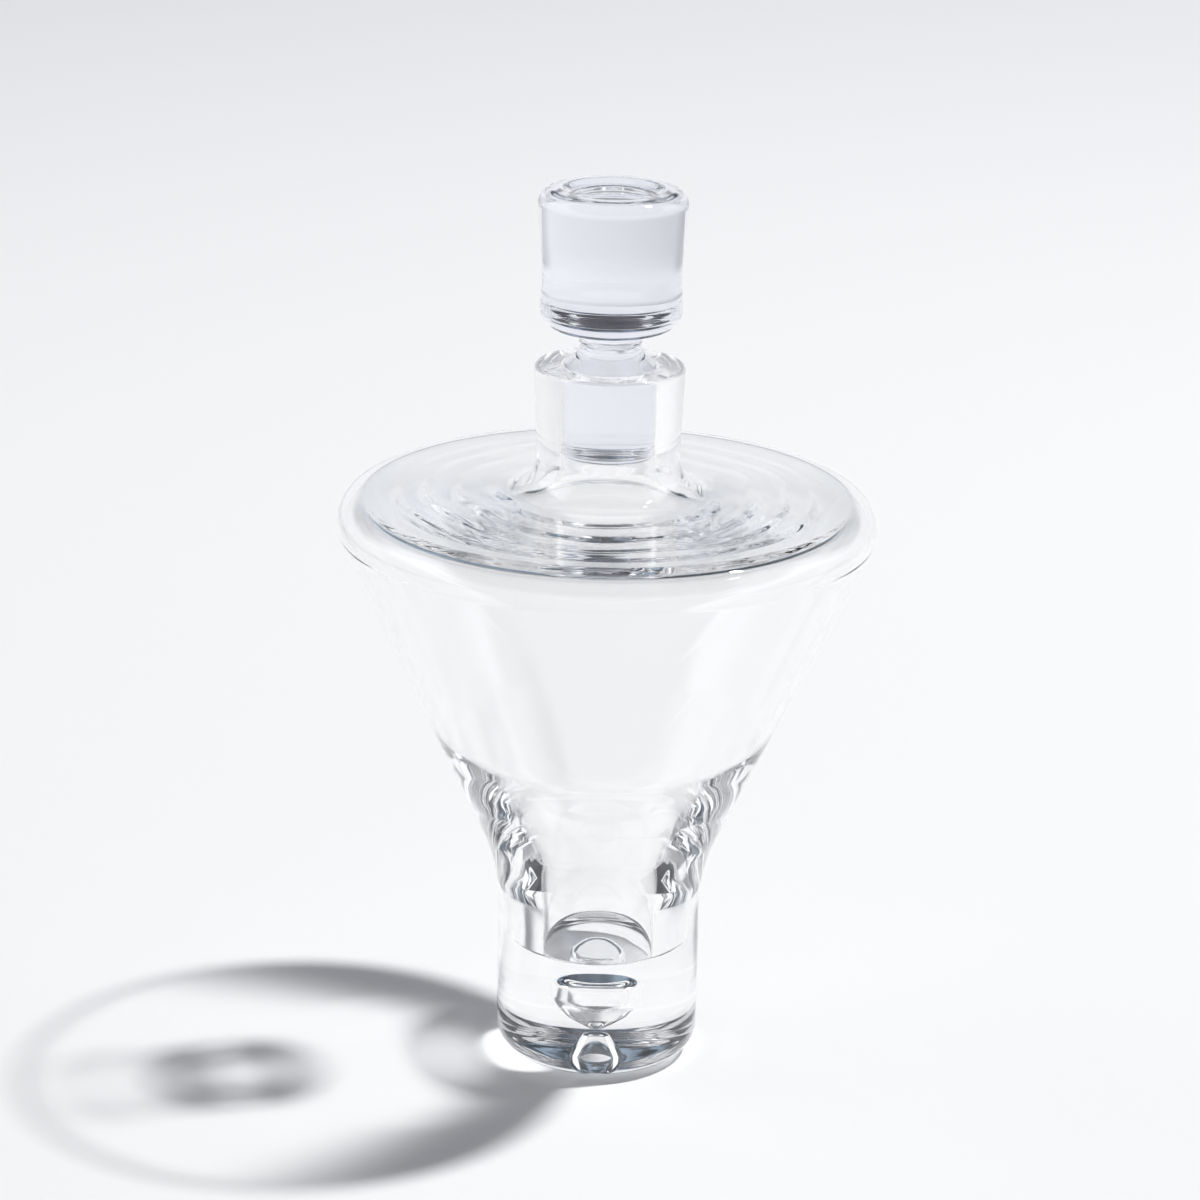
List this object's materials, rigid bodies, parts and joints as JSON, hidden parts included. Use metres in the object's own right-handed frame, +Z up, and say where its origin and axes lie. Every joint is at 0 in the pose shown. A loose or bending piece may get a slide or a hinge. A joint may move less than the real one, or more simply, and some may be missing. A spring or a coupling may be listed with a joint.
{
  "type": "wine decanter",
  "caption": "Clear glass decanter: inverted cone body on a thick solid foot holding an air bubble, short thick neck and a solid knobbed glass stopper.",
  "frame": {"origin": "middle of the flat face that the decanter stands on", "axes": "+Z up along the decanter's axis, from the foot through the neck to the knob; X and Y are alike, because every piece is turned about Z"},
  "size_m": [0.1504, 0.1504, 0.2536],
  "materials": {
    "clear_glass": "polished"
  },
  "bodies": {
    "decanter": {"decanter_body": "clear_glass"},
    "stopper": {"stopper": "clear_glass"}
  },
  "joints": [
    {"name": "stopper_lift", "type": "slide", "parent": "decanter", "child": "stopper", "axis": [0, 0, 1], "range_m": [0, 0.06]}
  ]
}
